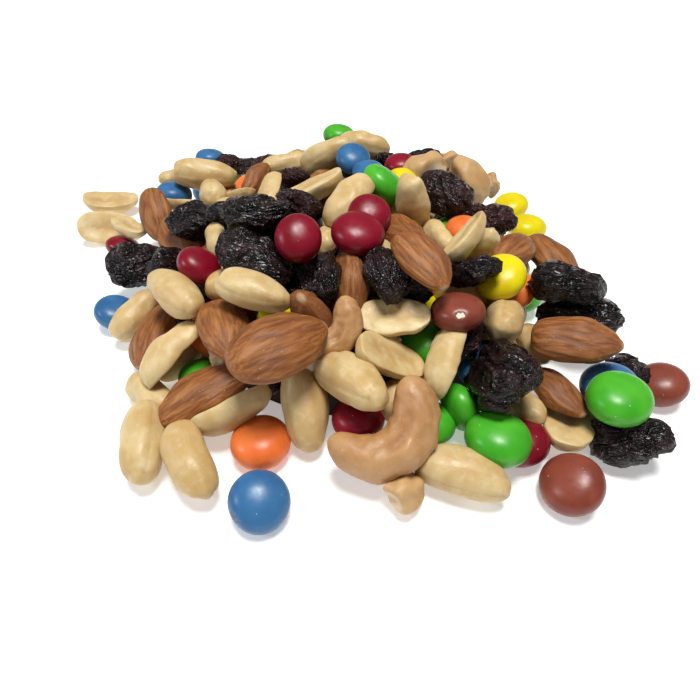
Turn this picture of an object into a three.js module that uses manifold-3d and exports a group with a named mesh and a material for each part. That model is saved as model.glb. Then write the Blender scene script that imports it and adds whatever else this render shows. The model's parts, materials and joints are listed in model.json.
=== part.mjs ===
// A heap of trail mix, poured out on a flat surface: peanuts, almonds, cashews, raisins and
// sugar-shelled chocolate buttons. It is one solid out to its uneven outline: a low mound with
// the outer layer of pieces standing out of it, and a fringe of pieces that rolled clear.
// Millimetres, +Z up. The origin is on the surface that the heap lies on, in the middle.
import * as THREE from "three";
import { mergeVertices } from "three/addons/utils/BufferGeometryUtils.js";
import Module from "manifold-3d";

const wasm = await Module();
wasm.setup();

// The mound under the outer layer.
const MOUND_HEIGHT = 31; // at the crest
const MOUND_SHARE = 0.88; // of the heap's reach, so that the outer pieces overhang it
const MOUND_RINGS = 7;
const MOUND_SIDES = 36;
const FOOT_HEIGHT = 2.5; // the mound's edge, buried in the fringe pieces
const SLOPE_POWER = 2.1; // how flat the crest is

// How far the heap reaches from its middle, every 30 degrees counterclockwise from +X.
const REACH = [76, 78, 83, 85, 87, 90, 78, 68, 77, 80, 84, 86];

// Length, width and thickness of each kind of piece.
const SIZES = {
  peanut: [19, 11, 10.5],
  half_peanut: [18.5, 10.5, 5.5],
  almond: [23, 13, 8.5],
  cashew: [24, 13, 9.5],
  raisin: [17, 13, 9.5],
  button: [13.5, 13.5, 7.4],
};
// The outer layer takes its kinds in this order, over and over.
const ORDER = [
  "peanut", "button", "raisin", "half_peanut", "button",
  "almond", "peanut", "raisin", "button", "cashew",
];
const OUTER_PIECES = 80;
const SIDES = 7; // facets of a piece round its length
const RINGS = 4; // and along it
const FACET_GROWTH = 1.06; // so that a faceted piece has the bulk of the rounded one
const GOLDEN_ANGLE = Math.PI * (3 - Math.sqrt(5));
const PROUD = 2.2; // how far an outer piece's middle stands above the mound
const LEAN = 0.28; // radians that a piece may lean out of the slope
const SLOPE_STEP = 0.02; // share of the way out over which the mound's slope is taken
const SINK = 0.2; // of a fringe piece into the surface, so that it lies on a small flat
const GROUND = [400, 400, 30]; // cuts off what would reach below the surface

// The fringe: pieces that rolled clear of the heap, each lying flat: kind, x, y, heading in degrees.
const FRINGE = [
  ["button", -13, -77, 0],
  ["button", -12, -67, 30],
  ["peanut", -41, -63, 95],
  ["peanut", -29, -70, 110],
  ["peanut", 31, -72, -20],
  ["button", 53, -70, 0],
  ["half_peanut", 53, -59, 20],
  ["raisin", 66, -56, -10],
  ["raisin", 58, -48, 60],
  ["button", 83, -42, 0],
  ["raisin", 72, -38, 40],
  ["button", 68, 26, 0],
  ["button", 60, 41, 0],
  ["cashew", 14, 75, 80],
  ["peanut", -28, 75, 100],
  ["half_peanut", -80, 35, 5],
  ["half_peanut", -77, 44, 0],
  ["button", -67, -12, 0],
];

function random(seed) {
  const x = Math.sin(seed * 127.1 + 311.7) * 43758.5453;
  return x - Math.floor(x);
}

// The heap's reach at a bearing, smoothly between the stated ones.
function reach(bearing) {
  const turns = (bearing / (2 * Math.PI) + 10) * REACH.length;
  const k = Math.floor(turns);
  const t = turns - k;
  const blend = t * t * (3 - 2 * t);
  const at = (i) => REACH[i % REACH.length];
  return at(k) * (1 - blend) + at(k + 1) * blend;
}

// The mound's height where it is `share` of the way out to its edge.
function moundHeight(share) {
  return FOOT_HEIGHT + (MOUND_HEIGHT - FOOT_HEIGHT) * (1 - share ** SLOPE_POWER);
}

function solid(geometry) {
  const bare = geometry.index ? geometry.toNonIndexed() : geometry.clone();
  bare.deleteAttribute("normal");
  bare.deleteAttribute("uv");
  const merged = mergeVertices(bare, 1e-3);
  return new wasm.Manifold(
    new wasm.Mesh({
      numProp: 3,
      vertProperties: merged.attributes.position.array,
      triVerts: new Uint32Array(merged.index.array),
    }),
  );
}

function mound() {
  const profile = [new THREE.Vector2(0, 0), new THREE.Vector2(1, 0)];
  for (let ring = MOUND_RINGS; ring >= 0; ring--) {
    const share = ring / MOUND_RINGS;
    profile.push(new THREE.Vector2(share, moundHeight(share)));
  }
  const geometry = new THREE.LatheGeometry(profile, MOUND_SIDES).rotateX(Math.PI / 2);
  const place = geometry.attributes.position;
  for (let i = 0; i < place.count; i++) {
    const edge = MOUND_SHARE * reach(Math.atan2(place.getY(i), place.getX(i)));
    place.setXY(i, place.getX(i) * edge, place.getY(i) * edge);
  }
  return solid(geometry);
}

// One piece as an ellipsoid of its kind's size, turned, then leaned, then put in its place.
function piece(kind, turn, lean, place) {
  const [length, width, thickness] = SIZES[kind];
  const geometry = new THREE.SphereGeometry(1, SIDES, RINGS)
    .rotateZ(Math.PI / 2)
    .scale(length / 2, width / 2, thickness / 2)
    .scale(FACET_GROWTH, FACET_GROWTH, FACET_GROWTH)
    .applyQuaternion(lean.clone().multiply(turn))
    .translate(place.x, place.y, place.z);
  return solid(geometry);
}

const UP = new THREE.Vector3(0, 0, 1);

function outerPiece(i) {
  const kind = ORDER[i % ORDER.length];
  const bearing = i * GOLDEN_ANGLE;
  const out = Math.sqrt((i + 0.5) / OUTER_PIECES);
  const radius = out * (reach(bearing) - SIZES[kind][1] / 2);
  const share = Math.min(1, radius / (MOUND_SHARE * reach(bearing)));
  const height = Math.max(SIZES[kind][2] / 2, moundHeight(share) + PROUD);
  const drop = moundHeight(share) - moundHeight(share + SLOPE_STEP);
  const fall = drop / (SLOPE_STEP * MOUND_SHARE * reach(bearing));
  const normal = new THREE.Vector3(Math.cos(bearing) * fall, Math.sin(bearing) * fall, 1);
  normal.x += LEAN * (random(i) - 0.5);
  normal.y += LEAN * (random(i + 500) - 0.5);
  const lean = new THREE.Quaternion().setFromUnitVectors(UP, normal.normalize());
  const turn = new THREE.Quaternion().setFromAxisAngle(UP, 2 * Math.PI * random(i + 900));
  const place = new THREE.Vector3(Math.cos(bearing) * radius, Math.sin(bearing) * radius, height);
  return piece(kind, turn, lean, place);
}

function fringePiece([kind, x, y, heading]) {
  const turn = new THREE.Quaternion().setFromAxisAngle(UP, THREE.MathUtils.degToRad(heading));
  const place = new THREE.Vector3(x, y, SIZES[kind][2] / 2 - SINK);
  return piece(kind, turn, new THREE.Quaternion(), place);
}

// The surface that the heap lies on, which flattens what would reach below it.
function ground() {
  return solid(new THREE.BoxGeometry(...GROUND).translate(0, 0, -GROUND[2] / 2));
}

// The whole heap in one piece, without the gaps shut in under it.
function heap() {
  const outer = Array.from({ length: OUTER_PIECES }, (_, i) => outerPiece(i));
  const whole = wasm.Manifold.union([mound(), ...outer, ...FRINGE.map(fringePiece)]);
  const bodies = whole.subtract(ground()).decompose().filter((body) => body.volume() > 0);
  const { vertProperties, triVerts, numProp } = wasm.Manifold.union(bodies).getMesh();
  const count = vertProperties.length / numProp;
  const positions = new Float32Array(count * 3);
  for (let i = 0; i < count; i++) {
    positions.set(vertProperties.subarray(i * numProp, i * numProp + 3), i * 3);
  }
  const geometry = new THREE.BufferGeometry()
    .setAttribute("position", new THREE.BufferAttribute(positions, 3))
    .setIndex(new THREE.BufferAttribute(triVerts, 1));
  geometry.computeVertexNormals();
  geometry.computeBoundingBox();
  const middle = geometry.boundingBox.getCenter(new THREE.Vector3());
  return geometry.translate(-middle.x, -middle.y, 0);
}

const trailMix = new THREE.MeshStandardMaterial({ color: 0xc89a66, roughness: 0.6, metalness: 0 });
const mix = new THREE.Mesh(heap(), trailMix);
mix.name = "trail_mix_heap";

const part = new THREE.Group();
part.add(mix);

export default part;
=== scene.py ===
"""A heap of trail mix as it was poured out on a bare surface: whole and split peanuts, almonds,
cashews, raisins and sugar-shelled chocolate buttons, each at its true size. Sizes and places are in
millimetres and angles in degrees; the meshes are in metres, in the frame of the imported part."""

import json
import math

import bpy
import numpy as np
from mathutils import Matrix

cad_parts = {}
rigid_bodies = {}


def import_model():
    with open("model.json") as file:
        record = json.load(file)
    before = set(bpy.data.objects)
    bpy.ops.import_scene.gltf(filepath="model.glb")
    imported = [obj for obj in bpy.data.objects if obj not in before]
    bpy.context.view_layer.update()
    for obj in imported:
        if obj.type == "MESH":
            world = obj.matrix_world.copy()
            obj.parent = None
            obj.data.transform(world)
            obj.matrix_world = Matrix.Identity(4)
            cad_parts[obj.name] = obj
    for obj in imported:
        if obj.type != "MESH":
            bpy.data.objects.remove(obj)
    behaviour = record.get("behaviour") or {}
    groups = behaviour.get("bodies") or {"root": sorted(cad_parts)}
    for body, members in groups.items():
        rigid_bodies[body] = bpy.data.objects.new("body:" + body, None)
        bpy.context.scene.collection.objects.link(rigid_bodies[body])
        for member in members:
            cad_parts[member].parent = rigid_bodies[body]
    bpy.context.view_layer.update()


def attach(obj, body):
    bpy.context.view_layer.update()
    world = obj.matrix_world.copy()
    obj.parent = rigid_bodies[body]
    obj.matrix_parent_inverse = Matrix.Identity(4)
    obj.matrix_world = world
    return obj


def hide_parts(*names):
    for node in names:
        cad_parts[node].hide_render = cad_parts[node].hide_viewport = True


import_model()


# ---------------------------------------------------------------- whole peanuts
# Roasted peanuts without their red skins: two halves still joined along a seam that runs right
# round, with the small beak of the germ at one end. Pale tan, a little oily, with salt dust.

MM = 0.001


def skin(along, around):
    """A closed skin of triangles as points of a ball, from one tip on X to the other."""
    down = np.repeat(np.arange(1, along) * math.pi / along, around)
    turn = np.tile(np.arange(around) * 2 * math.pi / around, along - 1)
    down = np.concatenate(([0.0], down, [math.pi]))
    turn = np.concatenate(([0.0], turn, [0.0]))
    ball = np.stack((-np.cos(down), np.sin(down) * np.cos(turn), np.sin(down) * np.sin(turn)), 1)
    step = np.arange(around)
    after = (step + 1) % around
    last = 1 + (along - 2) * around
    faces = [np.stack((np.zeros_like(step), 1 + after, 1 + step), 1)]
    for ring in range(along - 2):
        low = 1 + ring * around
        high = low + around
        faces.append(np.stack((low + step, low + after, high + after), 1))
        faces.append(np.stack((low + step, high + after, high + step), 1))
    faces.append(np.stack((last + step, last + after, np.full_like(step, last + around)), 1))
    return ball, np.concatenate(faces)


def swells(points, size, seed, waves=8):
    """Smooth unevenness, mostly between -1 and 1, whose swells are about `size` apart."""
    draw = np.random.default_rng(seed)
    ways = draw.normal(size=(waves, 3))
    ways /= np.linalg.norm(ways, axis=1, keepdims=True)
    pace = 2 * math.pi / size * draw.uniform(0.6, 1.4, waves)
    phase = draw.uniform(0, 2 * math.pi, waves)
    return 2.2 * np.sin(points @ (ways * pace[:, None]).T + phase).mean(1)


def bump(x, middle, width):
    """1 at the middle, falling smoothly to 0 on both sides."""
    return np.exp(-(((x - middle) / width) ** 2))


def turned(heading, pitch, roll):
    """The way a piece lies: rolled about its length, its +X end raised, then headed round."""
    h, p, r = np.radians((heading, pitch, roll))
    about_z = [[math.cos(h), -math.sin(h), 0], [math.sin(h), math.cos(h), 0], [0, 0, 1]]
    about_y = [[math.cos(p), 0, -math.sin(p)], [0, 1, 0], [math.sin(p), 0, math.cos(p)]]
    about_x = [[1, 0, 0], [0, math.cos(r), -math.sin(r)], [0, math.sin(r), math.cos(r)]]
    return np.array(about_z) @ np.array(about_y) @ np.array(about_x)


class Wire:
    """A socket that can be reckoned with: sums, differences and products add their Math nodes."""

    def __init__(self, finish, socket):
        self.finish = finish
        self.socket = socket

    def reckon(self, operation, first, second):
        return self.finish.node("ShaderNodeMath", {"operation": operation}, {0: first, 1: second})

    def __add__(self, other):
        return self.reckon("ADD", self, other)

    def __radd__(self, other):
        return self.reckon("ADD", other, self)

    def __sub__(self, other):
        return self.reckon("SUBTRACT", self, other)

    def __rsub__(self, other):
        return self.reckon("SUBTRACT", other, self)

    def __mul__(self, other):
        return self.reckon("MULTIPLY", self, other)

    def __rmul__(self, other):
        return self.reckon("MULTIPLY", other, self)

    def __abs__(self):
        return self.reckon("ABSOLUTE", self, 0.0)


class Finish:
    """A material whose surface is worked out by nodes."""

    def __init__(self, name):
        self.material = bpy.data.materials.new(name)
        self.material.use_nodes = True
        self.tree = self.material.node_tree
        self.tree.nodes.clear()

    def node(self, kind, settings=(), values=(), out=0):
        """Any node: its type, its settings, then the values or links of its sockets."""
        made = self.tree.nodes.new(kind)
        for key, value in dict(settings).items():
            setattr(made, key, value)
        for key, value in dict(values).items():
            if isinstance(value, Wire):
                self.tree.links.new(value.socket, made.inputs[key])
            else:
                made.inputs[key].default_value = value
        return Wire(self, made.outputs[out]) if made.outputs else None

    def mark(self, name, out="Vector"):
        """What the mesh says at each point: its place on its own piece, and the like."""
        return self.node("ShaderNodeAttribute", {"attribute_name": name}, out=out)

    def stretched(self, place, along, across, shift):
        """A piece's own place, drawn out or squeezed, and moved on differently for each piece."""
        scaled = self.node(
            "ShaderNodeVectorMath", {"operation": "MULTIPLY"}, {0: place, 1: (along, across, across)}
        )
        moved = self.node("ShaderNodeCombineXYZ", (), {0: shift, 1: shift * 1.7, 2: shift * 2.3})
        return self.node("ShaderNodeVectorMath", {"operation": "ADD"}, {0: scaled, 1: moved})

    def cloud(self, place, scale, detail=3.0, roughness=0.55):
        """Soft mottling between 0 and 1."""
        values = {"Vector": place, "Scale": scale, "Detail": detail, "Roughness": roughness}
        return self.node("ShaderNodeTexNoise", (), values, out="Fac")

    def specks(self, place, scale, size, seldom):
        """1 on small separate specks, 0 between them; `seldom` of the cells stay empty."""
        cells = {"Vector": place, "Scale": scale}
        near = self.node("ShaderNodeTexVoronoi", (), cells, out="Distance")
        tint = self.node("ShaderNodeTexVoronoi", (), cells, out="Color")
        pick = self.node("ShaderNodeSeparateColor", (), {"Color": tint})
        here = self.between(pick, seldom, seldom + 0.02)
        return here * (1 - self.between(near, size * 0.6, size))

    def between(self, value, low, high, to_low=0.0, to_high=1.0):
        """A value brought from one span to another, and kept inside it."""
        span = {"Value": value, "From Min": low, "From Max": high, "To Min": to_low, "To Max": to_high}
        return self.node("ShaderNodeMapRange", {"interpolation_type": "SMOOTHSTEP"}, span)

    def mixed(self, share, first, second):
        """Two colours mixed: none of the second where the share is 0."""
        first, second = (each if isinstance(each, Wire) else (*each, 1.0) for each in (first, second))
        sockets = {0: share, 6: first, 7: second}  # those of a colour mix
        return self.node("ShaderNodeMix", {"data_type": "RGBA"}, sockets, out=2)

    def relief(self, height, distance, strength=1.0, under=None):
        """Fine unevenness for a Normal, `distance` mm high, on top of what is under it."""
        values = {"Height": height, "Distance": distance * MM, "Strength": strength}
        if under is not None:
            values["Normal"] = under
        return self.node("ShaderNodeBump", (), values)

    def surface(self, **values):
        """The shader itself, with its sockets by name."""
        named = {name.replace("_", " ").title().replace("Ior", "IOR"): v for name, v in values.items()}
        shader = self.node("ShaderNodeBsdfPrincipled", (), named)
        self.node("ShaderNodeOutputMaterial", (), {"Surface": shader})
        return self.material


mix = []  # every loose piece: where its points are in which mesh, how it lies and its rough form


def laid(row):
    """True for a piece laid one by one; the row of a strewn one has a word more."""
    return len(row) == 7


def joined(name, material, form, rows, balls, seed):
    """One mesh of all the pieces of a kind. A row is x, y, z, heading, pitch, roll, size. The form
    gives a piece's points, its triangles, and how far each point stands out, up to 1, or lies deep,
    down to -1. The balls, each x, y, z, radius, are the rough form by which the pieces settle."""
    draw = np.random.default_rng(seed)
    points, faces, marks, owns, reliefs = [], [], [], [], []
    count = 0
    for number, row in enumerate(rows):
        x, y, z, heading, pitch, roll, size = row[:7]
        own = draw.uniform(0, 1)
        local, triangles, relief = form(seed * 1000 + number, row)
        turn = turned(heading, pitch, roll)
        place = np.array((x, y, z), float)
        points.append(local * size @ turn.T + place)
        faces.append(triangles + count)
        marks.append(local)
        owns.append(np.full(len(local), own))
        reliefs.append(relief)
        mix.append(
            {
                "mesh": name,
                "first": count,
                "last": count + len(local),
                "place": place,
                "turn": turn,
                "balls": np.array(balls) * size,
                "strewn": not laid(row),
            }
        )
        count += len(local)
    points, faces = np.concatenate(points), np.concatenate(faces)
    mesh = bpy.data.meshes.new(name)
    mesh.vertices.add(len(points))
    mesh.vertices.foreach_set("co", (points * MM).ravel())
    mesh.loops.add(faces.size)
    mesh.loops.foreach_set("vertex_index", faces.ravel().astype(np.int32))
    mesh.polygons.add(len(faces))
    mesh.polygons.foreach_set("loop_start", np.arange(0, faces.size, 3, dtype=np.int32))
    mesh.polygons.foreach_set("use_smooth", np.ones(len(faces), bool))
    mesh.update()
    mesh.attributes.new("at", "FLOAT_VECTOR", "POINT").data.foreach_set(
        "vector", np.concatenate(marks).ravel()
    )
    mesh.attributes.new("own", "FLOAT", "POINT").data.foreach_set("value", np.concatenate(owns))
    mesh.attributes.new("relief", "FLOAT", "POINT").data.foreach_set(
        "value", np.concatenate(reliefs)
    )
    mesh.materials.append(material)
    piece = bpy.data.objects.new(name, mesh)
    bpy.context.scene.collection.objects.link(piece)
    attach(piece, "root")
    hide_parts("trail_mix_heap")
    return piece


# How far the heap reaches from its middle, every 30 degrees from +X, and how high the middles of
# its outer pieces lie, at the top and at the rim.
REACH = (76, 78, 83, 85, 87, 90, 78, 68, 77, 80, 84, 86)
CREST = 33
RIM = 4.5
FALL = 2.3  # higher is flatter on top and steeper at the rim
STREWN = 150  # places worked out over the heap, under and behind the pieces laid one by one
TURN_ON = 137.508  # from each of them to the next
STREWN_OUT = 0.95  # the outermost of them, as a share of the reach
LOWEST = 3  # no strewn piece starts with its middle under this


def reach_at(bearing, reach):
    """How far the heap reaches on a bearing in degrees."""
    return np.interp(bearing % 360, np.arange(13) * 30, reach + reach[:1])


def crest_at(x, y):
    """The height of the heap's outer layer, at the middle of its pieces."""
    share = np.hypot(x, y) / reach_at(np.degrees(np.arctan2(y, x)), REACH)
    return RIM + (CREST - RIM) * np.clip(1 - share**FALL, 0, 1)


def strewn(every, first, seed):
    """Rows for the pieces of a kind that fill the heap: each kind takes its share of a spiral of
    places. They lie deep under the laid pieces, and near the surface only behind and beside them."""
    draw = np.random.default_rng(seed)
    rows = []
    for number in range(first, STREWN, every):
        bearing = math.radians(number * TURN_ON)
        out = math.sqrt((number + 0.5) / STREWN)
        far = out * STREWN_OUT * reach_at(math.degrees(bearing), REACH)
        x, y = far * math.cos(bearing), far * math.sin(bearing)
        if y > 50 + 0.1 * abs(x):  # behind
            deep, outermost = 6, 1.0
        elif x > 25 and y > 5:  # beside, on the right
            deep, outermost = 9, 0.8
        else:
            deep, outermost = 15, 0.7
        z = crest_at(x, y) - deep
        if z < LOWEST or out > outermost:
            continue
        heading, pitch, roll = draw.uniform(0, 360), draw.uniform(-15, 15), draw.uniform(-25, 25)
        rows.append((x, y, z, heading, pitch, roll, 1.0, "strewn"))
    return rows


PEANUT = (19.6, 10.8, 10.2)  # length, width across the seam, thickness
PEANUT_FULLNESS = 0.36  # 0 would be a plain drawn-out ball; more is blunter at both ends
SEAM_DEPTH = 0.045  # of the half width
PEANUT_BEND = 1.3  # sideways at the middle, at most
BEAK = 0.5  # how far the germ stands out at the tip
PEANUT_ROWS = [
    (-44, -61, 5, -80, -5, 60, 1.05),
    (-32, -66, 5, -60, -5, 0, 0.97),
    (-46, -48, 5, -40, 5, 10, 0.85),
    (-7, -55, 9, -75, -40, -35, 1.0),
    (4, -53, 17, -50, 15, -20, 1.05),
    (28, -71, 6, -20, 0, -15, 1.04),
    (46, -52, 7, -75, 25, -5, 0.8),
    (51, -36, 12, -85, 20, 0, 0.85),
    (42, -36, 21, -110, 30, -80, 1.0),
    (-19, -34, 28, -15, -10, -25, 0.9),
    (-40, -30, 24, -45, 0, -25, 0.95),
    (-58, -19, 7, 50, 25, -15, 0.85),
    (-48, 45, 18, 10, -10, -20, 1.1),
    (-62, 53, 13, 55, -10, -10, 0.65),
    (-41, 26, 20, -75, 20, -90, 0.9),
    (9, 49, 27, -5, -10, -20, 0.9),
    (-4, 36, 29, -20, 35, -20, 1.0),
    (-18, 38, 25, 10, 5, -20, 0.85),
    (7, 11, 30, 75, -10, -5, 0.8),
    (-2, -9, 26, 80, -15, -5, 0.7),
]


def peanut_form(seed, row):
    """A drawn-out ball, a little bent and waisted, grooved along its seam, with a beak."""
    length, width, thickness = PEANUT
    ball, faces = skin(48, 40) if laid(row) else skin(24, 20)
    draw = np.random.default_rng(seed)
    x, y, z = ball.T
    round_off = np.maximum(np.hypot(y, z), 1e-6)
    fuller = round_off**-PEANUT_FULLNESS
    waist = 1 - draw.uniform(0.0, 0.12) * bump(x, draw.uniform(-0.1, 0.2), 0.35)
    taper = 1 + draw.uniform(-0.12, 0.02) * x
    wander = z + 0.06 * np.sin(x * 3 + draw.uniform(0, 6))
    seam = bump(wander, 0, draw.uniform(0.07, 0.1)) * np.minimum(1, round_off * 2)
    out = fuller * waist * taper * (1 - SEAM_DEPTH * seam)
    shape = np.stack((x * length / 2, y * out * width / 2, z * out * thickness / 2), 1)
    bend = draw.uniform(-PEANUT_BEND, PEANUT_BEND)
    shape[:, 1] += bend * (1 - (shape[:, 0] / length * 2) ** 2)
    beak = bump(x, 1, 0.05) * bump(y, 0, 0.2)
    cheek = bump(np.hypot(y, z - 0.1), 0.36, 0.07) * (x > 0.7) * (z > -0.1)
    shape[:, 0] += BEAK * beak
    lengthwise = swells(shape * (0.45, 1, 1), 3.6, seed + 1) * 0.17
    uneven = swells(shape, 10, seed) * 0.4 + lengthwise - cheek * 0.09
    shape += ball * uneven[:, None]
    return shape, faces, -np.clip(0.8 * seam + cheek * 0.4, 0, 1)


SALT = (0.90, 0.86, 0.76)
NUT_DUST = (0.78, 0.70, 0.54)
KERNEL_GLOW = {  # light goes a little way into a kernel, red the farthest
    "subsurface_radius": (0.9, 0.6, 0.3),
    "subsurface_scale": 0.003,
    "ior": 1.45,
}


def nut_finish(name, pale, deep, hollow_shade, sheen, dust=0.2):
    """A roasted kernel: clouded from pale to deep, darker in its hollows as painted shade, dusty and
    salted.
    """
    finish = Finish(name)
    place, own = finish.mark("at"), finish.mark("own", "Fac")
    relief = finish.mark("relief", "Fac")
    wide = finish.cloud(finish.stretched(place, 0.9, 0.9, own * 40), 0.16, 2.0)
    fine = finish.cloud(finish.stretched(place, 0.35, 1.0, own * 90), 1.3, 4.0, 0.6)
    dusty = finish.cloud(finish.stretched(place, 1.0, 1.0, own * 25), 0.55, 3.0, 0.6)
    base = finish.mixed(finish.between(wide, 0.35, 0.68), pale, deep)
    base = finish.mixed(finish.between(fine, 0.52, 0.75) * 0.5, base, deep)
    base = finish.mixed(finish.between(own, 0.45, 1.0) * 0.45, base, deep)
    # painted shade: the seam, the groove and the hollow of each kernel are mixed toward a darker brown
    base = finish.mixed(finish.between(relief * -1, 0.25, 1.0) * 0.5, base, hollow_shade)
    base = finish.mixed(finish.between(dusty, 0.5, 0.72) * dust, base, NUT_DUST)
    salt = finish.specks(finish.stretched(place, 1, 1, own * 60), 2.0, 0.15, 0.78)
    base = finish.mixed(salt * 0.7, base, SALT)
    grain = finish.relief(fine, 0.14, 0.6)
    rough = finish.between(dusty, 0.4, 0.65, sheen, sheen + 0.16)
    grainy = finish.relief(salt, 0.15, 0.8, grain)
    return finish.surface(
        base_color=base, roughness=rough, normal=grainy, subsurface_weight=0.12, **KERNEL_GLOW
    )


PEANUT_BALLS = [(-6, 0, 0, 4.4), (-2, 0, 0, 5.3), (2.2, 0, 0, 5.3), (6, 0, 0, 4.4)]
peanut_skin = nut_finish(
    "peanut",
    pale=(0.63, 0.475, 0.235),
    deep=(0.53, 0.345, 0.135),
    hollow_shade=(0.40, 0.22, 0.075),
    sheen=0.36,
)
peanut_rows = PEANUT_ROWS + strewn(5, 0, 11)
joined("peanuts", peanut_skin, peanut_form, peanut_rows, PEANUT_BALLS, 1)


# ---------------------------------------------------------------- split peanuts
# Peanuts that came apart into halves: a flat inner face with a shallow groove down it, a pale rim
# and at one end the hollow where the germ sat, and a rounded back.

HALF = (19.0, 10.8, 5.8)  # length, width, thickness
HALF_FULLNESS = 0.32
HALF_RIM = 0.9  # how high the inner face stands at its edge
GROOVE = 0.85  # how deep it is hollowed
GERM = 0.8  # how deep the germ sat in it
HALF_LIFT = 1.2  # brings its middle to the middle of the half's thickness
HALF_ROWS = [
    (-24, -54, 7, 20, 20, -60, 1.1),
    (26, -46, 17, -110, -20, -120, 1.0),
    (13, -48, 19, 10, -35, 10, 1.0),
    (15, -37, 21.5, -5, 5, 20, 0.9),
    (55.5, -56, 5, -110, 10, 0, 1.1),
    (3, -2, 35, 55, 20, 165, 1.0),
    (-7, 10, 31, 15, 20, -15, 1.05),
    (16, 5, 29, -65, 10, -155, 0.8),
    (22, 2, 30, 40, -75, -10, 1.0),
    (28, -10, 27, -70, 5, -100, 0.8),
    (34, -16, 31, 50, 20, -50, 0.9),
    (37, -12, 26, -35, 40, -70, 0.85),
    (-82, 31, 5, 10, -5, 45, 1.05),
    (-86, 47, 6, 20, -10, 5, 1.0),
    (-71, 23, 10, -35, -5, -15, 0.75),
    (-53, 28, 16, -15, 5, -35, 0.7),
    (-21, 14, 27, -95, -15, -125, 0.9),
    (-31, 21, 23, -50, 30, -20, 0.7),
    (-34, -5, 24, -75, 0, -120, 0.75),
    (-42, -38, 12, 45, 25, 145, 1.1),
    (-39, -37, 10, 50, 25, -75, 1.0),
]


def half_form(seed, row):
    """Half a drawn-out ball, its inner face up, hollowed along the middle and under the germ."""
    length, width, thickness = HALF
    ball, faces = skin(48, 44) if laid(row) else skin(24, 22)
    draw = np.random.default_rng(seed)
    x, y, z = ball.T
    round_off = np.maximum(np.hypot(y, z), 1e-6)
    taper = 1 + draw.uniform(-0.16, 0.0) * x
    out = round_off**-HALF_FULLNESS * taper
    shape = np.stack((x * length / 2, y * out * width / 2, np.zeros_like(x)), 1)
    inner = np.clip(z * out, 0, None)
    rim = HALF_RIM * inner**0.4
    groove = GROOVE * bump(y, draw.uniform(-0.1, 0.1), 0.42) * (1 - bump(np.abs(x), 1, 0.35))
    germ = GERM * bump(x, 0.74, 0.12) * bump(y, 0, 0.22)
    back = np.clip(-z * out, 0, None)
    shape[:, 2] = np.where(z > 0, (rim - groove * inner - germ * inner), -(thickness - 1) * back)
    shape[:, 2] += HALF_LIFT
    to_tip = (shape[:, 0] / length * 2) ** 2
    shape[:, 1] += draw.uniform(-0.9, 0.9) * (1 - to_tip)
    shape[:, 2] += draw.uniform(0.1, 0.6) * to_tip
    uneven = swells(shape, 8, seed) * 0.28 + swells(shape, 3, seed + 1) * 0.1
    shape += ball * uneven[:, None]
    shade = np.where(z > 0, -(groove / GROOVE) * np.minimum(1, inner * 2), 0)
    return shape, faces, shade


HALF_BALLS = [(-6, 0, 0, 2.6), (6, 0, 0, 2.6)] + [
    (x, side * 2.4, 0, 2.7) for x in (-3, 0, 3) for side in (-1, 1)
]
half_skin = nut_finish(
    "split peanut",
    pale=(0.66, 0.51, 0.26),
    deep=(0.56, 0.38, 0.155),
    hollow_shade=(0.44, 0.25, 0.085),
    sheen=0.4,
)
half_rows = HALF_ROWS + strewn(10, 3, 12)
joined("split_peanuts", half_skin, half_form, half_rows, HALF_BALLS, 2)


# ---------------------------------------------------------------- almonds
# Whole almonds in their brown skins: flattened drops with a blunt end and a point, the skin dry and
# drawn into fine ridges that run from end to end. The ridges are painted paler as highlight and the
# furrows darker as shade.

ALMOND = (22.8, 14.2, 9.0)  # length, width, thickness
BLUNT_END = 0.3  # fullness at the round end
RIDGE_HEIGHT = 0.24
ALMOND_ROWS = [
    (-31, -52, 11, -145, -10, 10, 1.05),
    (-12, -49, 24, 40, -5, 15, 1.05),
    (53, -52, 12, -65, 5, -15, 0.74),
    (58, -42, 19, -20, 10, 20, 0.89),
    (65, -1, 14, -70, -5, -15, 0.95),
    (51, -4, 19, -130, 10, 0, 0.85),
    (18, -10, 29, -70, 15, -5, 0.85),
    (21, -30, 34, -60, -10, 0, 0.81),
    (3, -32, 25.5, -90, -35, 60, 0.97),
    (-26, -40, 21, -70, 0, -10, 0.9),
    (-49, -30, 9, -95, -5, 35, 0.95),
    (-60, 21, 16, -70, -30, 30, 0.82),
    (-27, 31, 23, 60, 25, 60, 0.6),
]


def almond_form(seed, row):
    """A flattened drop whose point is at +X, ridged from end to end."""
    length, width, thickness = ALMOND
    ball, faces = skin(60, 96) if laid(row) else skin(28, 44)
    draw = np.random.default_rng(seed)
    x, y, z = ball.T
    blunt = np.maximum(np.hypot(y, z), 1e-6) ** np.where(x < 0, -BLUNT_END, -draw.uniform(0.06, 0.2))
    point = blunt * (1 - 0.2 * np.clip(x, 0, 1) ** 2)
    shape = np.stack((x * length / 2, y * point * width / 2, z * point * thickness / 2), 1)
    shape[:, 0] += 0.5 * bump(x, 1, 0.04)
    shape[:, 1] += draw.uniform(-0.5, 0.5) * (1 - x**2)
    angle = np.arctan2(z, y)
    ring = np.stack((np.cos(angle) * 4.6, np.sin(angle) * 4.6, x * 1.6), 1)
    ring[:, 0] += swells(shape, 14, seed) * 0.5
    broad = 1 - 2 * np.minimum(np.abs(swells(ring, 3.0, seed + 1, 12)), 1)
    ridges = -broad * 0.6 + swells(ring, 1.0, seed + 2, 14) * 0.45
    fade = np.clip(1 - bump(np.abs(x), 1, 0.1), 0, 1)
    shape += ball * (ridges * RIDGE_HEIGHT * fade + swells(shape, 10, seed + 3) * 0.35)[:, None]
    return shape, faces, np.clip(ridges, -1, 1) * fade


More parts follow.
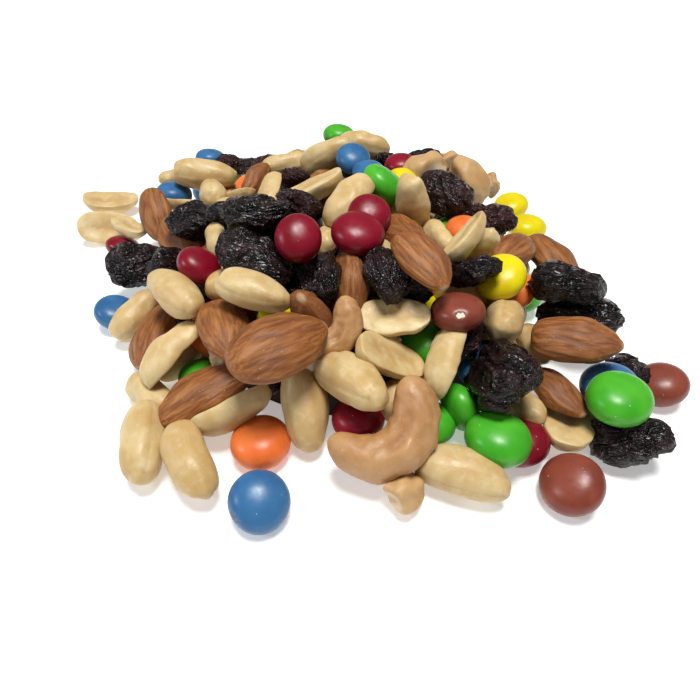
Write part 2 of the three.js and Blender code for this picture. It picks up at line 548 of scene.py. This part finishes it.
ALMOND_BROWN = (0.22, 0.072, 0.018)
ALMOND_TAN = (0.36, 0.14, 0.04)
ALMOND_RED = (0.21, 0.072, 0.028)
ALMOND_RIDGE_HIGHLIGHT = (0.47, 0.215, 0.075)
ALMOND_FURROW_SHADE = (0.13, 0.042, 0.016)
ALMOND_DARK = (0.18, 0.06, 0.022)
ALMOND_SCAR = (0.50, 0.34, 0.20)  # where it hung in its shell
ALMOND_SALT = (0.80, 0.72, 0.62)


def almond_finish():
    """Dry skin in streaks of two browns, painted paler on the ridges as highlight and darker in the
    furrows as shade, lightly salted.
    """
    finish = Finish("almond skin")
    place, own = finish.mark("at"), finish.mark("own", "Fac")
    relief = finish.mark("relief", "Fac")
    streaks = finish.cloud(finish.stretched(place, 0.12, 1.0, own * 70), 1.5, 4.0, 0.6)
    wide = finish.cloud(finish.stretched(place, 0.7, 0.9, own * 30), 0.2, 2.0)
    base = finish.mixed(finish.between(streaks, 0.35, 0.7), ALMOND_BROWN, ALMOND_TAN)
    base = finish.mixed(finish.between(wide, 0.4, 0.7) * 0.5, base, ALMOND_RED)
    # painted highlight: the ridges are mixed toward a paler brown
    base = finish.mixed(finish.between(relief, 0.0, 0.9) * 0.5, base, ALMOND_RIDGE_HIGHLIGHT)
    # painted shade: the furrows are mixed toward a darker brown
    base = finish.mixed(finish.between(relief * -1, 0.1, 0.8) * 0.65, base, ALMOND_FURROW_SHADE)
    base = finish.mixed(finish.between(own, 0.5, 1.0) * 0.3, base, ALMOND_DARK)
    along = finish.node("ShaderNodeSeparateXYZ", (), {0: place}, out="X")
    scar = finish.between(along + wide * 1.5, 11.9, 12.7)
    base = finish.mixed(scar * 0.6, base, ALMOND_SCAR)
    salt = finish.specks(finish.stretched(place, 1, 1, own * 50), 1.3, 0.13, 0.82)
    base = finish.mixed(salt * 0.75, base, ALMOND_SALT)
    grain = finish.relief(streaks, 0.3, 0.7)
    rough = finish.between(streaks, 0.3, 0.7, 0.42, 0.58)
    return finish.surface(base_color=base, roughness=rough, normal=grain, specular_ior_level=0.3)


ALMOND_BALLS = [(-7.5, 0, 0, 3.6), (8.2, 0, 0, 2.6)] + [
    (x, side * 2.4, 0, 4.2) for x in (-3.5, 0.5) for side in (-1, 1)
] + [(4.5, 1.4, 0, 3.8), (4.5, -1.4, 0, 3.8)]
almond_rows = ALMOND_ROWS + strewn(15, 6, 13)
joined("almonds", almond_finish(), almond_form, almond_rows, ALMOND_BALLS, 3)


# ---------------------------------------------------------------- cashews
# Roasted cashews: thick bent kernels, fat in the middle of the bend and round at both ends, with a
# faint seam along the inside of the bend. Warm tan, blotched where they roasted darker.

CASHEW_BEND = 9.0  # radius of the middle line
CASHEW_THICK = (10.3, 9.6)  # in the plane of the bend, and across it
CASHEW_SPAN = 205  # from tip to tip, in degrees
CASHEW_BACK = 0.45  # of the bend's radius, from its centre to the middle of the piece
CASHEW_HOLLOW = 1.1  # how deep it dips inside the bend
CASHEW_RIDGE = 0.35  # how high the seam stands beside the dip
CASHEW_ROWS = [
    (11.5, -65.3, 15, 30, 25, 35, 1.05),
    (-1, -41.5, 22.5, 30, 25, 45, 0.7),
]


def cashew_form(seed, row):
    """A thick round rod bent in a half circle that opens to +Y, dented inside the bend."""
    ball, faces = skin(72, 48)
    x, y, z = ball.T
    round_off = np.maximum(np.hypot(y, z), 1e-6)
    thick = (1 - np.abs(x) ** 3.2) ** 0.42 * (0.98 + 0.08 * x + 0.06 * bump(x, 0.1, 0.4))
    y, z = y / round_off * thick, z / round_off * thick
    bend = x * math.radians(CASHEW_SPAN) / 2
    out = CASHEW_BEND + y * CASHEW_THICK[0] / 2
    shape = np.stack((np.sin(bend) * out, -np.cos(bend) * out, z * CASHEW_THICK[1] / 2), 1)
    shape[:, 1] += CASHEW_BEND * CASHEW_BACK
    hollow = bump(y, -0.38, 0.3) * bump(x, 0.12, 0.42) * (z > 0) * np.minimum(1, np.abs(z) * 2)
    ridge = bump(y, -0.05, 0.12) * bump(x, 0.12, 0.35) * (z > 0)
    around = np.stack((np.sin(bend) * y, -np.cos(bend) * y, z), 1)
    uneven = swells(shape, 9, seed) * 0.3 + swells(shape, 3, seed + 1) * 0.17
    drawn = np.stack((bend * CASHEW_BEND * 0.35, y * 5, z * 5), 1)
    uneven += swells(drawn, 1.7, seed + 2, 12) * 0.1
    shape += around * (uneven - hollow * CASHEW_HOLLOW + ridge * CASHEW_RIDGE)[:, None]
    return shape, faces, -hollow


CASHEW_BALLS = [
    (math.sin(math.radians(turn)) * CASHEW_BEND, 4 - math.cos(math.radians(turn)) * CASHEW_BEND, 0, 4.4)
    for turn in (-70, -35, 0, 35, 70)
]
cashew_skin = nut_finish(
    "cashew",
    pale=(0.57, 0.335, 0.15),
    deep=(0.41, 0.20, 0.075),
    hollow_shade=(0.30, 0.12, 0.042),
    sheen=0.4,
    dust=0.08,
)
cashew_rows = CASHEW_ROWS + strewn(30, 9, 14)
joined("cashews", cashew_skin, cashew_form, cashew_rows, CASHEW_BALLS, 4)


# ---------------------------------------------------------------- raisins
# Large sun-dried raisins, almost black with a brown-purple glow where the skin is thin. The skin has
# shrunk into deep folds and fine wrinkles, sticky and shiny on their crests; the crests are painted a
# little paler as highlight.

RAISIN = (18.5, 13.0, 9.8)  # length, width, thickness
RAISIN_FULLNESS = 0.15
FOLD, WRINKLE, CREASE = 1.6, 0.75, 0.3  # how high each stands
SHRUNK = 1.4  # what the skin as a whole has lost
RAISIN_ROWS = [
    (39, -50, 15, -70, 40, 45, 1.15),
    (68.5, -62, 6, -15, 25, 15, 0.92),
    (74, -43, 9, 5, -35, -20, 0.7),
    (35, -26, 28, -20, 25, -35, 0.75),
    (60, -23, 21, -35, 20, -25, 1.0),
    (63, -30, 16, -25, 10, -20, 1.1),
    (46, 10, 21, 10, -10, 0, 0.95),
    (32, 8, 31, -40, -10, 25, 0.95),
    (29, 40, 26, 20, 0, -15, 0.7),
    (16, 38, 27, 60, -20, -10, 0.5),
    (-10, -2, 33, 15, -35, -25, 0.7),
    (13, -28, 28.5, -70, -5, -20, 0.85),
    (17, -32, 26, -40, 15, -5, 0.75),
    (-2, -28, 27.5, -90, 0, 90, 0.65),
    (-7, -26, 23, -65, -10, 5, 0.9),
    (-19, -25, 31, -5, -20, 0, 1.05),
    (-22, -7, 33, -10, 5, -25, 1.0),
    (-59, -2, 12, 20, -10, 15, 1.05),
    (-42, 5, 24, -5, 5, 10, 0.95),
    (-33, 3, 27, -50, 30, -15, 0.6),
    (-14, 27, 26, -45, 20, -15, 0.6),
    (-43, 63, 14, -40, 15, -20, 0.6),
]


def raisin_form(seed, row):
    """A drawn-out ball whose skin has shrunk into folds, wrinkles and creases along its length."""
    length, width, thickness = RAISIN
    ball, faces = skin(80, 84) if laid(row) else skin(26, 28)
    x, y, z = ball.T
    full = np.maximum(np.hypot(y, z), 1e-6) ** -RAISIN_FULLNESS
    shape = np.stack((x * length / 2, y * full * width / 2, z * full * thickness / 2), 1)
    warp = np.stack([swells(shape, 9, seed + k) for k in (1, 2, 3)], 1)
    drawn = (shape + warp * 1.8) * (0.4, 1.0, 1.0)
    folds = np.minimum(np.abs(swells(drawn, 12, seed + 4, 6)) * 1.4, 1) ** 0.7
    wrinkles = (1 - np.minimum(np.abs(swells(drawn, 5.0, seed + 5, 8)) * 1.6, 1)) ** 1.3
    creases = (1 - np.minimum(np.abs(swells(drawn + warp * 0.5, 2.6, seed + 6, 10)) * 1.5, 1)) ** 1.3
    height = FOLD * folds + WRINKLE * wrinkles + CREASE * creases
    lumps = swells(shape, 14, seed + 7) * 0.9
    shape += ball * (height + lumps - SHRUNK)[:, None]
    return shape, faces, np.clip(0.4 * folds + 0.4 * wrinkles + 0.3 * creases, 0, 1)


RAISIN_BLACK = (0.004, 0.0025, 0.003)
RAISIN_PURPLE = (0.020, 0.007, 0.008)
RAISIN_CREST_HIGHLIGHT = (0.032, 0.016, 0.017)
RAISIN_RED = (0.05, 0.014, 0.014)  # the thin skin of a few of them
CRUMBS = (0.42, 0.33, 0.24)


def raisin_finish():
    """Near-black skin, purple in patches, painted a little paler on the crests as highlight, sticky and
    creased, with a few crumbs on it.
    """
    finish = Finish("raisin skin")
    place, own = finish.mark("at"), finish.mark("own", "Fac")
    relief = finish.mark("relief", "Fac")
    moved = finish.stretched(place, 0.8, 1.0, own * 50)
    patches = finish.cloud(moved, 0.22, 2.0)
    broad = finish.cloud(finish.stretched(place, 0.28, 1.0, own * 80), 0.55, 1.5, 0.45)
    narrow = finish.cloud(finish.stretched(place, 0.4, 1.1, own * 30), 1.2, 1.5, 0.45)
    broad = 1 - finish.between(abs(broad - 0.5), 0.0, 0.09)
    narrow = 1 - finish.between(abs(narrow - 0.5), 0.0, 0.1)
    base = finish.mixed(finish.between(patches, 0.4, 0.7), RAISIN_BLACK, RAISIN_PURPLE)
    # painted highlight: the crests of folds and wrinkles are mixed toward a paler brown-black
    base = finish.mixed(finish.between(relief, 0.5, 1.0) * 0.5, base, RAISIN_CREST_HIGHLIGHT)
    base = finish.mixed(finish.between(own, 0.75, 0.95) * 0.6, base, RAISIN_RED)
    base = finish.mixed(finish.specks(moved, 1.0, 0.14, 0.9), base, CRUMBS)
    creases = finish.relief(broad * 0.75 + narrow * 0.25, 0.5, 0.85)
    rough = finish.between(patches, 0.35, 0.65, 0.18, 0.32)
    return finish.surface(
        base_color=base, roughness=rough, normal=creases, ior=1.48, specular_ior_level=0.36
    )


RAISIN_BALLS = [(x, side * 2.2, 0, 4.5) for x in (-4.2, 0, 4.2) for side in (-1, 1)]
raisin_skin = raisin_finish()
plump_rows = RAISIN_ROWS[::2] + strewn(5, 2, 15)
flat_rows = RAISIN_ROWS[1::2]
joined("plump_raisins", raisin_skin, raisin_form, plump_rows, RAISIN_BALLS, 44)
joined("flat_raisins", raisin_skin, raisin_form, flat_rows, RAISIN_BALLS, 43)


# ---------------------------------------------------------------- chocolate buttons
# Milk chocolate lentils, tumbled in coloured sugar until a smooth satin shell grew on them. No two
# are quite the same round, and the shells are scuffed with fine white specks.

BUTTON = (13.6, 13.6, 8.2)  # across, across, thickness
FULLNESS = 2.25  # 2 would be a plain squashed ball; more is rounder at the rim
BUTTON_ROWS = {
    "red": [
        (6, -56, 7, 45, 0, 0, 0.95),
        (43, -62, 5, -40, 15, 0, 1.02),
        (21, 36, 26, 10, 5, 0, 0.8),
        (9, -8, 33, 95, 30, 0, 0.9),
        (-9, -19, 33, 100, 35, 0, 0.9),
        (6, -20, 35, 130, 10, 0, 1.0),
        (-35, -21, 26, -170, 35, 0, 0.86),
        (-74, 20, 4, -125, 20, 0, 0.8),
    ],
    "blue": [
        (-15, -77, 5, 120, 20, 0, 1.0),
        (69, -46, 7, -20, 10, 0, 1.0),
        (37, -43, 12, 45, 15, 0, 1.0),
        (-65, -15, 4, 180, 25, 0, 0.95),
        (5, 32, 30, 115, 20, 0, 0.85),
        (10, 26, 28, -55, 0, 0, 0.8),
        (-60, 42, 12, -140, 15, 0, 0.95),
        (-51, 68, 13, -115, 15, 0, 0.9),
    ],
    "green": [
        (23, -56, 5, -30, 5, 0, 0.95),
        (30, -54, 9, 25, 100, 0, 0.9),
        (37, -64, 10, -45, 5, 0, 1.1),
        (23, -36, 13, 55, 10, 0, 1.0),
        (67, -54, 12, 25, 5, 0, 1.1),
        (0, 60, 26, -105, 5, 0, 0.85),
        (14, 9, 33, -165, 40, 0, 1.06),
        (33, 2, 22, 10, 10, 0, 0.75),
        (-35, -40, 4, 0, 0, 0, 0.85),
    ],
    "yellow": [
        (42, -26, 26, 30, 25, 0, 1.0),
        (67, 30, 4.5, -110, 10, 0, 1.0),
        (65, 47, 4, 20, 10, 0, 0.95),
        (21, 28, 25, -60, 5, 0, 0.75),
        (-14, -35, 20, -115, 10, 0, 0.75),
    ],
    "orange": [
        (-17, -61, 4, -120, 0, 0, 1.05),
        (48, -21, 18, 45, 20, 0, 0.9),
        (37, 1, 23, 30, 10, 0, 0.75),
        (-29, 30, 21, 160, 10, 0, 0.8),
    ],
    "brown": [
        (83.5, -44, 4, -10, 15, 0, 0.97),
        (52, -73, 5, 10, 25, 0, 1.0),
        (30, -37, 24, -70, 15, 0, 1.0),
    ],
}
SHELLS = {  # colour lit, colour in the shade of its own dye
    "red": ((0.235, 0.004, 0.019), (0.175, 0.003, 0.012)),
    "blue": ((0.042, 0.155, 0.335), (0.027, 0.112, 0.27)),
    "green": ((0.075, 0.42, 0.025), (0.045, 0.34, 0.015)),
    "yellow": ((0.77, 0.66, 0.004), (0.70, 0.55, 0.002)),
    "orange": ((0.84, 0.20, 0.045), (0.75, 0.145, 0.03)),
    "brown": ((0.24, 0.055, 0.033), (0.175, 0.036, 0.022)),
}
# Where two of the shells are broken: the row's x and y, the way out to the nick, and its size.
NICKS = {(-15, -77): (-0.15, 0.84, 0.21, 0.2), (30, -37): (0.75, -0.35, 0.5, 0.085)}
NICK_DEPTH = 0.3
CRACK = (0.02, 0.012, 0.012)  # dark, down to the chocolate
CHIP = (0.80, 0.68, 0.52)  # pale, down to the uncoloured sugar
SCUFF = (0.75, 0.72, 0.70)
FIRST_STREWN = {"red": 1, "blue": 4, "green": 8, "yellow": 11, "orange": 14, "brown": 18}


def button_form(seed, row):
    """A squashed ball, full at the rim, its round face to +Z, nicked where its shell is broken."""
    length, width, thickness = BUTTON
    ball, faces = skin(36, 40) if laid(row) else skin(18, 20)
    draw = np.random.default_rng(seed)
    x, y, z = ball.T
    full = (np.hypot(x, y) ** FULLNESS + np.abs(z) ** FULLNESS) ** (-1 / FULLNESS)
    shape = ball * full[:, None] * np.array((length, width, thickness)) / 2
    shape *= (1, draw.uniform(0.93, 1.02), draw.uniform(0.95, 1.08))
    shape += ball * (swells(shape, 18, seed, 5) * 0.16)[:, None]
    *way, size = NICKS.get(row[:2], (0, 0, 0, 1))
    nick = bump(np.linalg.norm(ball - way, axis=1), 0.1, size) * (row[:2] in NICKS)
    return shape - ball * nick[:, None] * NICK_DEPTH, faces, -nick


def shell_finish(colour):
    """A satin sugar shell, its dye uneven, scuffed with white specks, open at the nick."""
    bright, deep = SHELLS[colour]
    finish = Finish(f"{colour} sugar shell")
    place, own = finish.mark("at"), finish.mark("own", "Fac")
    wide = finish.cloud(finish.stretched(place, 1, 1, own * 40), 0.15, 2.0)
    base = finish.mixed(finish.between(wide, 0.35, 0.7), bright, deep)
    ragged = finish.cloud(place, 1.4, 3.0)
    nick = finish.between(finish.mark("relief", "Fac") * -1 * ragged, 0.3, 0.36)
    base = finish.mixed(nick, base, CRACK if colour == "blue" else CHIP)
    scuffs = finish.specks(finish.stretched(place, 1, 1, own * 50), 0.7, 0.09, 0.8)
    base = finish.mixed(scuffs * 0.7, base, SCUFF)
    wax = finish.cloud(finish.stretched(place, 1, 1, own * 20), 0.6, 3.0)
    return finish.surface(
        base_color=base,
        roughness=finish.between(wax, 0.3, 0.7, 0.27, 0.38),
        normal=finish.relief(wax, 0.08, 0.4),
        ior=1.47,
        specular_ior_level=0.36,
        subsurface_weight=0.06,
        subsurface_radius=(0.8, 0.8, 0.8),
        subsurface_scale=0.001,
    )


BUTTON_BALLS = [(0, 0, 0, 3.6)] + [
    (math.cos(turn * math.pi / 3) * 4.1, math.sin(turn * math.pi / 3) * 4.1, 0, 2.6) for turn in range(6)
]
for number, (colour, rows) in enumerate(BUTTON_ROWS.items()):
    rows = rows + strewn(20, FIRST_STREWN[colour], 20 + number)
    shell = shell_finish(colour)
    joined(f"{colour}_buttons", shell, button_form, rows, BUTTON_BALLS, 6 + number)


# ---------------------------------------------------------------- broken pieces
# Ends and corners of cashews and peanuts that broke off in the bag. Each is a rounded piece of
# kernel with a few flat faces where it snapped, paler there than on its roasted outside.

CHUNK = (10.0, 9.0, 8.0)
SNAPS = 6  # flat faces of each
CHUNK_HOLLOW = 1.3  # how deep one of them is scooped
CORNERS = 20.0  # higher is sharper
CHUNK_ROWS = [
    (15, -73.5, 4, 250, 10, 0, 1.05),
    (30, 31, 24.5, 10, -15, -20, 1.7),
    (41, 31, 22, -50, -10, 10, 1.95),
    (51, 35, 19, 60, 0, 0, 1.0),
    (37, 40, 23, 0, 20, 0, 1.3),
    (43, -6, 25, 40, 0, 0, 0.6),
    (15, -39, 17, 80, 0, 30, 0.6),
    (-27, -45, 17, 20, 30, 0, 0.7),
]


def chunk_form(seed, row):
    """A ball cut by a few planes, its corners rounded, one of its faces scooped out."""
    ball, faces = skin(56, 56)
    draw = np.random.default_rng(seed)
    ways = draw.normal(size=(SNAPS, 3))
    ways /= np.linalg.norm(ways, axis=1, keepdims=True)
    depth = draw.uniform(0.4, 0.8, SNAPS)
    reach = depth / np.maximum(ball @ ways.T, 0.05)
    rounded = np.column_stack((reach, np.ones(len(ball)) * 1.05))
    radius = (rounded**-CORNERS).sum(1) ** (-1 / CORNERS)
    snapped = np.clip((1 - radius) * 3, 0, 1)
    hollow = bump(np.linalg.norm(ball - ways[0], axis=1), 0, 0.5)
    shape = ball * radius[:, None] * np.array(CHUNK) / 2
    uneven = swells(shape, 5, seed + 1) * 0.55 + swells(shape, 1.8, seed + 2) * (0.06 + 0.1 * snapped)
    shape += ball * (uneven - hollow * CHUNK_HOLLOW)[:, None]
    return shape, faces, snapped - hollow * 1.6


CHUNK_PALE = (0.55, 0.35, 0.16)
CHUNK_DEEP = (0.47, 0.26, 0.10)
CHUNK_SNAPPED = (0.70, 0.55, 0.36)
CHUNK_SCOOP_SHADE = (0.30, 0.13, 0.04)
CHUNK_MOTTLE = (0.42, 0.25, 0.11)


def chunk_finish():
    """Kernel that is pale where it snapped, roasted outside and painted darker brown in its scoop as
    shade.
    """
    finish = Finish("broken kernel")
    place, own = finish.mark("at"), finish.mark("own", "Fac")
    relief = finish.mark("relief", "Fac")
    wide = finish.cloud(finish.stretched(place, 1, 1, own * 40), 0.22, 3.0)
    fine = finish.cloud(finish.stretched(place, 1, 1, own * 90), 1.6, 4.0, 0.6)
    base = finish.mixed(finish.between(wide, 0.35, 0.68), CHUNK_PALE, CHUNK_DEEP)
    base = finish.mixed(finish.between(relief, 0.1, 0.6) * 0.8, base, CHUNK_SNAPPED)
    # painted shade: the scooped hollow is mixed toward a dark brown
    base = finish.mixed(finish.between(relief * -1, 0.2, 1.0), base, CHUNK_SCOOP_SHADE)
    base = finish.mixed(finish.between(fine, 0.55, 0.8) * 0.3, base, CHUNK_MOTTLE)
    rough = finish.between(wide, 0.3, 0.7, 0.42, 0.56)
    grain = finish.relief(fine, 0.15, 0.6)
    return finish.surface(
        base_color=base, roughness=rough, normal=grain, subsurface_weight=0.1, **KERNEL_GLOW
    )


joined("broken_pieces", chunk_finish(), chunk_form, CHUNK_ROWS, [(0, 0, 0, 3.8)], 5)


# ---------------------------------------------------------------- settling
# Poured pieces come to rest on the surface and on each other. Each is taken as a few balls, and all
# are moved apart and let down a little at a time. A piece laid one by one only moves along the line of
# sight from the front, and doesn't turn. A strewn piece is free.

EYE = np.array((4.0, -133.0, 107.0))  # where the camera stands
STEPS = 160
SINK = 0.05  # in each step
LONGEST_MOVE = 0.6  # in each step
LONGEST_SPIN = 0.05  # in each step, in radians
EAGER = 1.3  # how much farther a piece moves than it is pushed
HEAVY = 40  # keeps a piece from spinning too freely
NEAR = 4  # balls closer than this are looked at
LOOK_EVERY = 10  # steps
BED_DEPTH = 17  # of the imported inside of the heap, under the middles of the outer pieces


def spun(axis_angle):
    """The turns for small rotations, one to a row."""
    angle = np.linalg.norm(axis_angle, axis=1, keepdims=True)
    axis = axis_angle / np.maximum(angle, 1e-9)
    x, y, z = axis.T
    nothing = np.zeros_like(x)
    cross = np.array([[nothing, -z, y], [z, nothing, -x], [-y, x, nothing]]).transpose(2, 0, 1)
    angle = angle[:, :, None]
    return np.eye(3) + np.sin(angle) * cross + (1 - np.cos(angle)) * cross @ cross


def no_longer(vectors, limit):
    """The same vectors, one to a row, with the long ones cut down to the limit."""
    length = np.maximum(np.linalg.norm(vectors, axis=1), 1e-9)
    return vectors * np.minimum(1, limit / length)[:, None]


def settle():
    """Where every piece comes to rest, and how it is turned there."""
    place = np.array([piece["place"] for piece in mix])
    turn = np.array([piece["turn"] for piece in mix])
    owner = np.concatenate([np.full(len(piece["balls"]), i) for i, piece in enumerate(mix)])
    balls = np.concatenate([piece["balls"] for piece in mix])
    middle, radius = balls[:, :3], balls[:, 3]
    home = place.copy()
    sight = home - EYE
    sight /= np.linalg.norm(sight, axis=1, keepdims=True)
    loose = np.array([piece["strewn"] for piece in mix])
    tie = np.where(loose, 0.002, 0.012)[:, None]  # how strongly a piece is drawn to its own place
    give = np.where(loose, 1.0, 0.12)[owner]  # how readily it makes way
    for step in range(STEPS):
        at = place[owner] + np.einsum("kij,kj->ki", turn[owner], middle)
        if step % LOOK_EVERY == 0:
            gap = np.linalg.norm(at[:, None] - at[None], axis=2) - radius[:, None] - radius[None]
            one, two = np.nonzero(np.triu((gap < NEAR) & (owner[:, None] != owner[None]), 1))
        apart = at[one] - at[two]
        far = np.linalg.norm(apart, axis=1)
        press = np.clip(radius[one] + radius[two] - far, 0, None)
        away = apart / np.maximum(far, 1e-6)[:, None] * press[:, None]
        share = (give[one] / (give[one] + give[two]))[:, None]  # of each push, for the first
        push = np.zeros_like(at)
        np.add.at(push, one, away * share)
        np.add.at(push, two, away * (share - 1))
        touched = np.zeros(len(at))
        np.add.at(touched, one, press > 0)
        np.add.at(touched, two, press > 0)
        bed = np.maximum(crest_at(at[:, 0], at[:, 1]) - BED_DEPTH, 0)
        lift = np.clip(bed + radius - at[:, 2], 0, None)
        push[:, 2] += lift
        touched += lift > 0
        arm = at - place[owner]
        move, spin = np.zeros_like(place), np.zeros_like(place)
        contacts, leverage = np.zeros(len(place)), np.zeros(len(place))
        np.add.at(move, owner, push)
        np.add.at(spin, owner, np.cross(arm, push))
        np.add.at(contacts, owner, touched)
        np.add.at(leverage, owner, touched * (arm**2).sum(1))
        move /= np.maximum(contacts, 1)[:, None]
        spin /= (leverage + HEAVY)[:, None]
        spin[~loose] = 0
        move *= EAGER
        move[:, 2] -= SINK
        move += (home - place) * tie
        along = (move * sight).sum(1, keepdims=True) * sight
        move = np.where(loose[:, None], move, along)
        place = place + no_longer(move, LONGEST_MOVE)
        turn = spun(no_longer(spin, LONGEST_SPIN)) @ turn
    return place, turn


rest_place, rest_turn = settle()
for index, piece in enumerate(mix):
    mesh = bpy.data.objects[piece["mesh"]].data
    points = np.zeros(len(mesh.vertices) * 3)
    mesh.vertices.foreach_get("co", points)
    points = points.reshape(-1, 3)
    span = slice(piece["first"], piece["last"])
    local = (points[span] / MM - piece["place"]) @ piece["turn"]
    settled = local @ rest_turn[index].T + rest_place[index]
    settled[:, 2] -= min(0, settled[:, 2].min())
    points[span] = settled * MM
    mesh.vertices.foreach_set("co", points.ravel())
    mesh.update()


# ---------------------------------------------------------------- the inside of the heap
# Under the loose pieces stands one smaller mound with an uneven face, in place of the mix packed
# close inside. It is coloured near black as painted shade: from above it is the darkness in the gaps,
# and low down it shows between edge pieces.

CORE_DEPTH = 13  # under the middles of the outer pieces
CORE_REACH = (58, 54, 56, 62, 66, 68, 60, 50, 47, 50, 52, 57)  # every 30 degrees, as for the heap
CORE_LUMPS = 3
CORE_RIM = 0.6  # its least height
CORE_UNDER = 0.3  # how high its flat underside lies


def core_form():
    ball, faces = skin(90, 120)
    x, y, z = ball[:, 1], ball[:, 2], ball[:, 0]
    share = np.hypot(x, y)
    reach = reach_at(np.degrees(np.arctan2(y, x)), CORE_REACH)
    plan = np.stack((x * reach, y * reach), 1)
    top = crest_at(plan[:, 0], plan[:, 1]) - CORE_DEPTH - CORE_LUMPS
    lumps = np.abs(swells(np.column_stack((plan, plan[:, 0] * 0)), 22, 90)) * CORE_LUMPS
    steep = np.minimum(1, (1 - share) * 12)
    height = np.where(z > 0, np.clip(top + lumps, CORE_RIM, None) * steep, CORE_UNDER)
    return np.column_stack((plan, height + 0.2)), faces


# painted shade: the inside of the heap is coloured near black in place of its pieces in shadow
CORE_SHADE_BLACK = (0.012, 0.008, 0.006)
CORE_SHADE_BROWN = (0.035, 0.02, 0.012)


def core_shade_finish():
    finish = Finish("painted shade inside")
    place = finish.mark("at")
    patches = finish.cloud(place, 0.12, 3.0)
    base = finish.mixed(finish.between(patches, 0.4, 0.65), CORE_SHADE_BLACK, CORE_SHADE_BROWN)
    return finish.surface(base_color=base, roughness=finish.between(patches, 0.3, 0.7, 0.7, 0.9))


def core_piece():
    points, faces = core_form()
    mesh = bpy.data.meshes.new("shade_core")
    mesh.from_pydata((points * MM).tolist(), [], faces.tolist())
    mesh.attributes.new("at", "FLOAT_VECTOR", "POINT").data.foreach_set("vector", points.ravel())
    mesh.polygons.foreach_set("use_smooth", np.ones(len(faces), bool))
    mesh.materials.append(core_shade_finish())
    piece = bpy.data.objects.new("shade_core", mesh)
    bpy.context.scene.collection.objects.link(piece)
    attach(piece, "root")
    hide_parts("trail_mix_heap")


core_piece()


# ---------------------------------------------------------------- floor, light and camera
# A plain white floor that glows a little so that it stays white, one broad soft light overhead, a
# weak cool one on the left, and even light from all round. The camera looks down from the front.


def floor_finish():
    finish = Finish("white floor")
    place = finish.node("ShaderNodeTexCoord", out="Object")
    shade = finish.cloud(place, 3.0, 1.0)
    base = finish.mixed(shade, (0.90, 0.90, 0.90), (0.92, 0.92, 0.92))
    return finish.surface(
        base_color=base, roughness=0.9, emission_color=(1, 1, 1, 1), emission_strength=0.34
    )


def soft_light(name, place, size, power, colour):
    """A round lamp that points at the middle of the heap."""
    data = bpy.data.lights.new(name, "AREA")
    data.shape = "DISK"
    data.size = size
    data.energy = power
    data.color = colour
    lamp = bpy.data.objects.new(name, data)
    lamp.location = place
    lamp.rotation_euler = (-lamp.location).to_track_quat("-Z", "Y").to_euler()
    bpy.context.scene.collection.objects.link(lamp)


bpy.ops.mesh.primitive_plane_add(size=6, location=(0, 0, 0))
floor = bpy.context.object
floor.name = "floor"
floor.data.materials.append(floor_finish())

soft_light("window", place=(0.04, -0.02, 0.78), size=0.28, power=6.8, colour=(1.0, 0.99, 0.96))
soft_light("cool fill", place=(-0.6, -0.15, 0.4), size=0.16, power=1.3, colour=(0.82, 0.91, 1.0))

world = bpy.data.worlds.new("studio")
world.use_nodes = True
even_light = world.node_tree.nodes["Background"]
even_light.inputs["Color"].default_value = (1, 1, 1, 1)
even_light.inputs["Strength"].default_value = 0.18
bpy.context.scene.world = world
bpy.context.scene.view_settings.view_transform = "Standard"

camera_data = bpy.data.cameras.new("camera")
camera_data.sensor_width = 36
camera_data.lens = 27.05  # wide, from close by
camera_data.clip_start = 0.01
camera = bpy.data.objects.new("camera", camera_data)
camera.location = EYE * MM
camera.rotation_euler = (math.radians(45), 0, 0)
bpy.context.scene.collection.objects.link(camera)
bpy.context.scene.camera = camera
